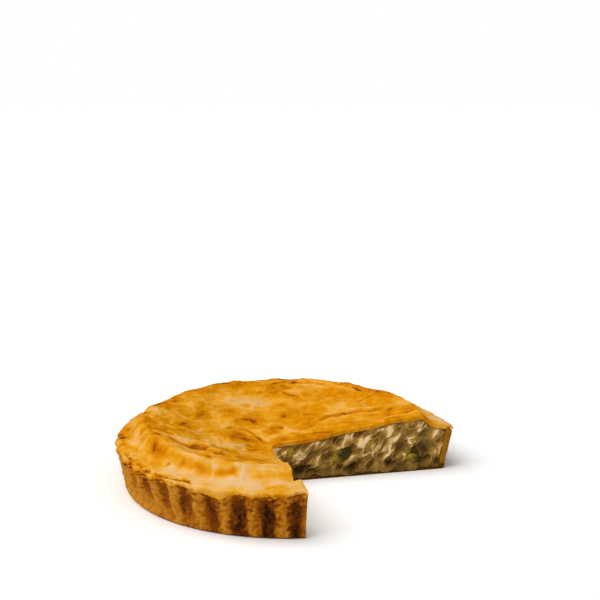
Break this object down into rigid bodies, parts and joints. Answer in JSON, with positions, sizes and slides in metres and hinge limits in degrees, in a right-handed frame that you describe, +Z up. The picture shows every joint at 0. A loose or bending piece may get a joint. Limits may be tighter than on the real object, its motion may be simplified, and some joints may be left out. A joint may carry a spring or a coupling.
{
  "type": "cod pie",
  "caption": "Round cod pie in a fluted pastry case under a sunken, wrinkled pastry lid, with a wedge cut away that shows the creamy cod filling and green olive pieces.",
  "frame": {"origin": "centre of the round base, on the surface that the pie rests on", "axes": "+Z up through the lid; -Y towards the picture's viewer; the cut faces look towards +X and -Y"},
  "size_m": [0.2489, 0.25, 0.0477],
  "materials": {
    "crust": "baked shortcrust, browned darker in the channels",
    "glazed_crust": "egg-glazed, golden, satin",
    "cod_filling": "moist shredded fish in cream",
    "olive": "wet, satin"
  },
  "bodies": {
    "root": {"pastry_case": "crust", "filling": "cod_filling", "pastry_lid": "glazed_crust", "olive_1": "olive", "olive_2": "olive", "olive_3": "olive", "olive_4": "olive"}
  },
  "joints": []
}
